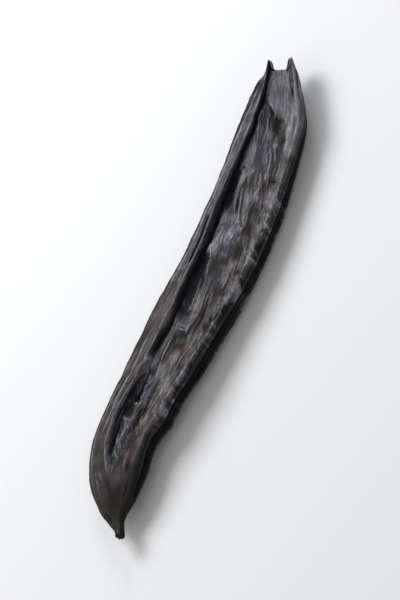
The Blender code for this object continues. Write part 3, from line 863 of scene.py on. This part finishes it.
def skinGrainGroup():
    # fine fibres along the pod and a leathery grain, as a height and as a mask
    values = {"Fibre Scale": 2600.0, "Grain Scale": 3400.0, "Fibre Share": 0.5}
    group, given, out = groupWith("skin grain", values, ("Height", "Mask"))
    drawn = stretched(group, (-4, 1), given.outputs["Straight"], podLook["fibreStretch"])
    fibres = noiseOf(group, (-2, 1), drawn, given.outputs["Fibre Scale"], detail=4.0)
    grain = noiseOf(group, (-2, 3), given.outputs["Straight"], given.outputs["Grain Scale"], detail=3.0)
    mix = node(group, "ShaderNodeMix", (1, 1), data_type="FLOAT")
    feed(group, mix, {0: given.outputs["Fibre Share"], 2: grain, 3: fibres})
    mask = mapRange(group, (4, 2), mix.outputs[0], *podLook["grainRange"])
    feed(group, out, {"Height": mix.outputs[0], "Mask": mask})
    return group


def mottleGroup():
    # cloudy patches in two sizes, drawn out a little along the pod
    values = {"Scale": 180.0, "Low": 0.4, "High": 0.65}
    group, given, out = groupWith("mottling", values, ("Mask",))
    drawn = stretched(group, (-4, 1), given.outputs["Straight"], podLook["mottleStretch"])
    cloud = noiseOf(group, (-2, 1), drawn, given.outputs["Scale"], detail=5.0, roughness=0.6)
    mask = mapRange(group, (2, 1), cloud, given.outputs["Low"], given.outputs["High"])
    feed(group, out, {"Mask": mask})
    return group


def useGroup(tree, group, place, straight, values):
    made = node(tree, "ShaderNodeGroup", place, node_tree=group)
    feed(tree, made, {"Straight": straight, **values})
    return made


def combineGrey(tree, place, value):
    made = node(tree, "ShaderNodeCombineColor", place)
    feed(tree, made, {"Red": value, "Green": value, "Blue": value})
    return made.outputs["Color"]


podLook = {
    "skinDark": (0.0078, 0.0055, 0.005),
    "skinGrey": (0.047, 0.038, 0.042),
    "faceBrown": (0.021, 0.014, 0.0125),
    "faceGrey": (0.054, 0.046, 0.057),
    "streak": (0.11, 0.094, 0.1),
    # painted shade: a near-black navy laid into the creases, valleys and pits
    "crease": (0.0095, 0.009, 0.0155),
    # pale grey on the raised ridges: partly rubbed, dusty skin and partly a painted sheen
    "wornAndSheen": (0.27, 0.262, 0.29),
    # the right rim's lumps: a painted highlight over paler rubbed skin
    "stripAndHighlight": (0.168, 0.15, 0.158),
    "layer": (0.155, 0.137, 0.152),
    # painted shade: the near-black tone of the sides turned away from the light
    "shadedFlank": (0.0125, 0.0115, 0.0122),
    "olive": (0.0195, 0.0155, 0.007),
    # painted sheen: a pale bluish grey
    "blueSheen": (0.112, 0.114, 0.165),
    "brown": (0.032, 0.0175, 0.0085),
    "mauve": (0.096, 0.056, 0.058),
    "gold": (0.17, 0.115, 0.055),
    "red": (0.062, 0.013, 0.01),
    "under": (0.02, 0.014, 0.012),
    "tintOrder": ("brown", "mauve", "gold", "blueSheen", "red"),
    "fibreShare": 0.45,
    "fibreStretch": 0.12,
    "mottleStretch": 0.45,
    "grainRange": (0.4, 0.62),
    "clouds": {"Scale": 150.0, "Low": 0.38, "High": 0.64},
    "flecks": {"Scale": 620.0, "Low": 0.5, "High": 0.68},
    "streaks": {"Scale": 520.0, "Low": 0.5, "High": 0.66},
    "streakStretch": 0.35,
    "faceClouds": 0.6,  # how strongly each of these shows
    "faceStreaks": 0.4,
    "stripShown": 0.85,
    "layerShown": 0.8,
    "pitShown": 0.9,
    # each of these reads a mask from one value to another and gives the last two values for them
    "raised": ("crest", 0.05, 0.4, 0.0, 1.0),
    # the sunken parts, which get the painted crease shade
    "sunken": ("crest", -0.03, -0.32, 0.0, 1.0),
    "farFace": ("station", 0.62, 0.74, 0.0, 1.0),
    "tip": ("station", 0.13, 0.05, 0.15, 0.85),
    "tintBroken": ("flecks", 0.0, 1.0, 0.75, 1.0),
    "wearBroken": ("grain", 0.0, 1.0, 0.72, 1.0),
    "wearAlong": ("station", 0.08, 0.16, 0.3, 0.85),
    "fineTone": ("grain", 0.0, 1.0, 0.6, 0.87),
    "roughness": ("clouds", 0.0, 1.0, 0.4, 0.58),
    "coat": ("shadedFlank", 0.0, 0.8, 0.3, 0.03),
    "coatSunken": ("sunken", 0.0, 1.0, 1.0, 0.1),
    "coatAlong": ("station", 0.07, 0.5, 0.25, 0.8),
    "coatBrown": ("brown", 0.0, 0.8, 1.0, 0.15),
    "coatMauve": ("mauve", 0.0, 0.8, 1.0, 0.5),
    "rougher": (("sunken", 0.25), ("shadedFlank", 0.2)),
    "wornCoat": 0.45,
    "surface": {"Coat Roughness": 0.2, "Specular IOR Level": 0.13, "Metallic": 0.0},
    "bump": {"Strength": 0.7, "Distance": 0.00016},
}


def times(tree, place, first, second):
    return mathOf(tree, place, "MULTIPLY", first, second)


def lookAt(tree, place, masks, name):
    mask, *values = podLook[name]
    return mapRange(tree, place, masks[mask], *values)


def podColour(tree, masks):
    colour = mixColour(tree, (0, 0), masks["clouds"], podLook["skinDark"], podLook["skinGrey"])
    farFace = lookAt(tree, (-2, 2), masks, "farFace")
    face = mixColour(tree, (-1, 2), farFace, podLook["faceBrown"], podLook["faceGrey"])
    shown = times(tree, (-1, 3), masks["clouds"], podLook["faceClouds"])
    face = mixColour(tree, (0, 2), shown, face, podLook["skinDark"])
    shown = times(tree, (-1, 4), masks["streaks"], podLook["faceStreaks"])
    face = mixColour(tree, (0, 3), shown, face, podLook["streak"])
    colour = mixColour(tree, (1, 0), masks["hollow"], colour, face)
    # the painted highlight on the right rim's lumps, broken by flecks
    stripAndHighlight = mixColour(tree, (1, 2), masks["flecks"], podLook["stripAndHighlight"], podLook["skinGrey"])
    shown = times(tree, (0, 5), masks["stripAndHighlight"], podLook["stripShown"])
    colour = mixColour(tree, (1, 1), shown, colour, stripAndHighlight)
    colour = mixColour(tree, (1, -1), lookAt(tree, (-1, 5), masks, "tip"), colour, podLook["olive"])
    broken = lookAt(tree, (1, 4), masks, "tintBroken")
    for step, kind in enumerate(podLook["tintOrder"], 2):
        shown = times(tree, (step - 1, 3), masks[kind], broken)
        colour = mixColour(tree, (step, 0), shown, colour, podLook[kind])
    layer = times(tree, (6, 2), masks["layer"], podLook["layerShown"])
    colour = mixColour(tree, (7, 0), layer, colour, podLook["layer"])
    # laid over the skin: the underside's tone, the pale ridges as rubbed skin with a painted sheen, the
    # painted shade on the dark sides, and the painted shade in the creases
    over = (("under", "under"), ("wearAndSheen", "wornAndSheen"), ("shadedFlank", "shadedFlank"), ("sunken", "crease"))
    for step, (mask, tone) in enumerate(over, 8):
        colour = mixColour(tree, (step, 0), masks[mask], colour, podLook[tone])
    fineTone = combineGrey(tree, (12, 3), lookAt(tree, (11, 3), masks, "fineTone"))
    return mixColour(tree, (13, 0), 1.0, colour, fineTone, blend="MULTIPLY")


def podRoughness(tree, masks):
    rough = lookAt(tree, (10, 6), masks, "roughness")
    for step, (mask, share) in enumerate(podLook["rougher"], 11):
        more = times(tree, (step - 1, 7), masks[mask], share)
        rough = mathOf(tree, (step, 6), "ADD", rough, more, clamp=True)
    return rough


def podCoat(tree, masks):
    # a thin gloss on the ridges, less of it in the creases, on the dark side and on the brown patches
    coat = lookAt(tree, (10, 9), masks, "coat")
    for step, name in enumerate(("coatSunken", "coatAlong"), 11):
        coat = times(tree, (step, 9), coat, lookAt(tree, (step - 1, 11), masks, name))
    coat = mathOf(tree, (13, 9), "ADD", coat, times(tree, (12, 12), masks["wearAndSheen"], podLook["wornCoat"]))
    for step, name in enumerate(("coatBrown", "coatMauve"), 14):
        coat = times(tree, (step, 9), coat, lookAt(tree, (step - 1, 11), masks, name))
    return coat


def newMaterial(name):
    material = bpy.data.materials.new(name)
    material.use_nodes = True
    tree = material.node_tree
    return material, tree, tree.nodes["Principled BSDF"]


def podMaterial():
    material, tree, shader = newMaterial("pod skin")
    shader.location = (3400, 0)
    tree.nodes["Material Output"].location = (3800, 0)
    straight = attributeOf(tree, "straight", (-6, 0)).outputs["Vector"]
    masks = {}
    for row, name in enumerate((*podMesh["maskNames"], "station"), 2):
        masks[name] = attributeOf(tree, name, (-6, row)).outputs["Fac"]
    grain = useGroup(tree, skinGrainGroup(), (-3, 0), straight, {"Fibre Share": podLook["fibreShare"]})
    masks["grain"] = grain.outputs["Mask"]
    mottle = mottleGroup()
    drawnOut = stretched(tree, (-4, 6), straight, podLook["streakStretch"])
    vectors = {"clouds": straight, "flecks": straight, "streaks": drawnOut}
    for row, (name, vector) in enumerate(vectors.items(), 1):
        masks[name] = useGroup(tree, mottle, (-3, 2 * row), vector, podLook[name]).outputs["Mask"]
    # the pits' painted shade joins the sunken parts
    pits = times(tree, (-2, 8), masks["pitShade"], podLook["pitShown"])
    masks["sunken"] = mathOf(tree, (-1, 7), "MAXIMUM", lookAt(tree, (-2, 7), masks, "sunken"), pits)
    # the raised ridges: paler, as rubbed skin with a painted sheen, and glossier
    wearAndSheen = lookAt(tree, (-1, 6), masks, "raised")
    for step, name in enumerate(("wearBroken", "wearAlong"), 7):
        wearAndSheen = times(tree, (step, 6), wearAndSheen, lookAt(tree, (step - 1, 8), masks, name))
    masks["wearAndSheen"] = wearAndSheen

    bump = node(tree, "ShaderNodeBump", (14, 5))
    feed(tree, bump, {"Height": grain.outputs["Height"], **podLook["bump"]})
    feed(tree, shader, {
        "Base Color": podColour(tree, masks),
        "Roughness": podRoughness(tree, masks),
        "Coat Weight": podCoat(tree, masks),
        "Normal": bump.outputs["Normal"],
        **podLook["surface"],
    })
    return material


# The stage: a pale floor, one large soft light from behind on the left, and weaker ones round it

stageSet = {
    "floorSize": 6.0,
    "floor": {"Base Color": (0.94, 0.93, 0.92), "Roughness": 0.9, "Specular IOR Level": 0.1},
    "world": {"Color": (0.96, 0.975, 1.0), "Strength": 0.36},
}


def makeFloor():
    bm = bmesh.new()
    bmesh.ops.create_grid(bm, x_segments=1, y_segments=1, size=stageSet["floorSize"] / 2)
    mesh = bpy.data.meshes.new("floor")
    bm.to_mesh(mesh)
    bm.free()
    material, tree, shader = newMaterial("pale floor")
    feed(tree, shader, stageSet["floor"])
    mesh.materials.append(material)
    floor = addObject("floor", mesh)
    world = bpy.data.worlds.new("studio")
    world.use_nodes = True
    feed(world.node_tree, world.node_tree.nodes["Background"], stageSet["world"])
    bpy.context.scene.world = world
    print("stage: floor and surrounding light made")


lightSet = {
    # each light: where it stands from the pod's middle, its size and its power in watts
    "key": {"place": (-0.40, 0.16, 0.52), "size": 0.36, "power": 3.3, "colour": (0.94, 0.965, 1.0)},
    "back": {"place": (-0.2, 0.6, 0.35), "size": 0.2, "power": 0.9, "colour": (0.9, 0.95, 1.0)},
    "fill": {"place": (-0.2, -0.55, 0.5), "size": 0.5, "power": 0.6, "colour": (1.0, 0.98, 0.95)},
}


def makeLights(target):
    for name, values in lightSet.items():
        lamp = bpy.data.lights.new(name, "AREA")
        lamp.shape = "SQUARE"
        lamp.size = values["size"]
        lamp.energy = values["power"]
        lamp.color = values["colour"]
        place = Vector(values["place"]) + target
        turned = (target - place).to_track_quat("-Z", "Y").to_matrix().to_4x4()
        addObject(name, lamp).matrix_world = Matrix.Translation(place) @ turned
    print("lights:", ", ".join(lightSet))


cameraSet = {
    "leanRight": 32.0,  # degrees from straight above, towards the right margin
    "leanToStub": 17.0,
    "roll": -47.55,
    "lens": {
        "lens": 220.0, "sensor_width": 36.0, "sensor_fit": "HORIZONTAL", "clip_start": 0.05, "clip_end": 20.0,
    },
    "distance": 0.799,
    "aim": (2.5 * mm, -3.06 * mm, 8.56 * mm),
}


def makeCamera():
    lean, tip, roll = (math.radians(cameraSet[name]) for name in ("leanRight", "leanToStub", "roll"))
    away = Vector((math.sin(lean) * math.cos(tip), -math.sin(tip), math.cos(lean) * math.cos(tip)))
    levelRight = Vector((0.0, 0.0, 1.0)).cross(away).normalized()
    levelUp = away.cross(levelRight)
    right = levelRight * math.cos(roll) + levelUp * math.sin(roll)
    up = levelUp * math.cos(roll) - levelRight * math.sin(roll)
    lens = bpy.data.cameras.new("camera")
    for name, value in cameraSet["lens"].items():
        setattr(lens, name, value)
    camera = addObject("camera", lens)
    place = Vector(cameraSet["aim"]) + away * cameraSet["distance"]
    camera.matrix_world = Matrix.Translation(place) @ Matrix((right, up, away)).transposed().to_4x4()
    bpy.context.scene.camera = camera
    print("camera: placed")


makeCamera()
makeFloor()
makeLights(Vector(cameraSet["aim"]))
bpy.context.scene.view_settings.view_transform = "Standard"

pod = makePod()
pod.data.materials.append(podMaterial())
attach(pod, "root")
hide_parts("carob_pod")
print("pod: material on")
